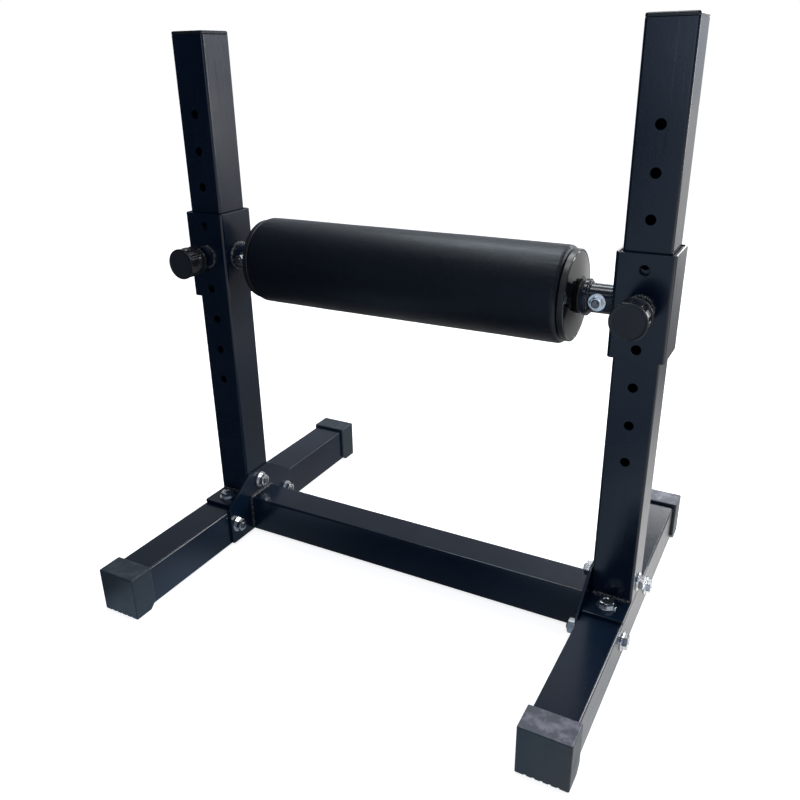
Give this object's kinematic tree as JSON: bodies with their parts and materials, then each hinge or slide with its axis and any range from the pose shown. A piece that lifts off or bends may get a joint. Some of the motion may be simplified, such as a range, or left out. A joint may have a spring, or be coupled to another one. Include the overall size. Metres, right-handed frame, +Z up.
{
  "type": "nordic hamstring stand",
  "caption": "Floor stand with two drilled uprights and a padded ankle roller on a sliding carriage held by sprung pins, for kneeling hamstring lowers.",
  "frame": {"origin": "on the floor, below the middle of the cross beam and the axle", "axes": "+Z up, +X along the roller to the right as the kneeling user sees it, +Y to the rear; the pin knobs point along -Y"},
  "size_m": [0.6428, 0.5376, 0.7025],
  "materials": {
    "powder_coat": "black powder coat, semi-gloss with a fine texture",
    "foot_rubber": "moulded black rubber, matte",
    "cap_plastic": "moulded black plastic, satin",
    "zinc": "bright zinc plate",
    "nylon": "black nylon, satin",
    "bare_steel": "plain steel, lightly oiled",
    "pad_vinyl": "black grained vinyl over foam, satin",
    "gloss_plastic": "moulded black plastic, glossy",
    "knob_plastic": "moulded black plastic, fluted, glossy with a satin face"
  },
  "bodies": {
    "frame": {"left_base_leg": "powder_coat", "right_base_leg": "powder_coat", "front_left_foot": "foot_rubber", "rear_left_foot": "foot_rubber", "front_right_foot": "foot_rubber", "rear_right_foot": "foot_rubber", "cross_beam": "powder_coat", "left_end_plate": "powder_coat", "right_end_plate": "powder_coat", "left_upright": "powder_coat", "right_upright": "powder_coat", "left_foot_plate": "powder_coat", "right_foot_plate": "powder_coat", "left_upright_cap": "cap_plastic", "right_upright_cap": "cap_plastic", "left_front_leg_bolt": "zinc", "left_front_leg_nut": "zinc", "left_rear_leg_bolt": "zinc", "left_rear_leg_nut": "zinc", "left_upright_bolt": "zinc", "left_upright_nut": "zinc", "left_front_plate_bolt": "zinc", "left_front_plate_nut": "zinc", "left_rear_plate_bolt": "zinc", "left_rear_plate_nut": "zinc", "right_front_leg_bolt": "zinc", "right_front_leg_nut": "zinc", "right_rear_leg_bolt": "zinc", "right_rear_leg_nut": "zinc", "right_upright_bolt": "zinc", "right_upright_nut": "zinc", "right_front_plate_bolt": "zinc", "right_front_plate_nut": "zinc", "right_rear_plate_bolt": "zinc", "right_rear_plate_nut": "zinc"},
    "carriage": {"left_collar": "powder_coat", "right_collar": "powder_coat", "left_collar_liner": "nylon", "right_collar_liner": "nylon", "left_socket": "powder_coat", "right_socket": "powder_coat", "left_socket_bolt": "zinc", "left_socket_nut": "zinc", "right_socket_bolt": "zinc", "right_socket_nut": "zinc", "roller_axle": "bare_steel", "left_pin_housing": "powder_coat", "right_pin_housing": "powder_coat"},
    "roller": {"roller_pad": "pad_vinyl", "roller_core": "bare_steel", "left_end_cap": "gloss_plastic", "right_end_cap": "gloss_plastic", "left_bearing": "nylon", "right_bearing": "nylon"},
    "left_pin": {"left_pin_plunger": "bare_steel", "left_pin_spring": "bare_steel", "left_pin_knob": "knob_plastic"},
    "right_pin": {"right_pin_plunger": "bare_steel", "right_pin_spring": "bare_steel", "right_pin_knob": "knob_plastic"}
  },
  "joints": [
    {"name": "carriage_slide", "type": "slide", "parent": "frame", "child": "carriage", "axis": [0, 0, 1], "range_m": [-0.135, 0.135]},
    {"name": "roller_spin", "type": "hinge", "parent": "carriage", "child": "roller", "pos_m": [0, 0, 0.4235], "axis": [1, 0, 0], "continuous": true},
    {"name": "left_pin_pull", "type": "slide", "parent": "carriage", "child": "left_pin", "axis": [0, -1, 0], "range_m": [0, 0.0095], "stiffness_N_per_m": 1500, "springref_m": -0.006, "deforming": ["left_pin_spring"]},
    {"name": "right_pin_pull", "type": "slide", "parent": "carriage", "child": "right_pin", "axis": [0, -1, 0], "range_m": [0, 0.0095], "stiffness_N_per_m": 1500, "springref_m": -0.006, "deforming": ["right_pin_spring"]}
  ]
}
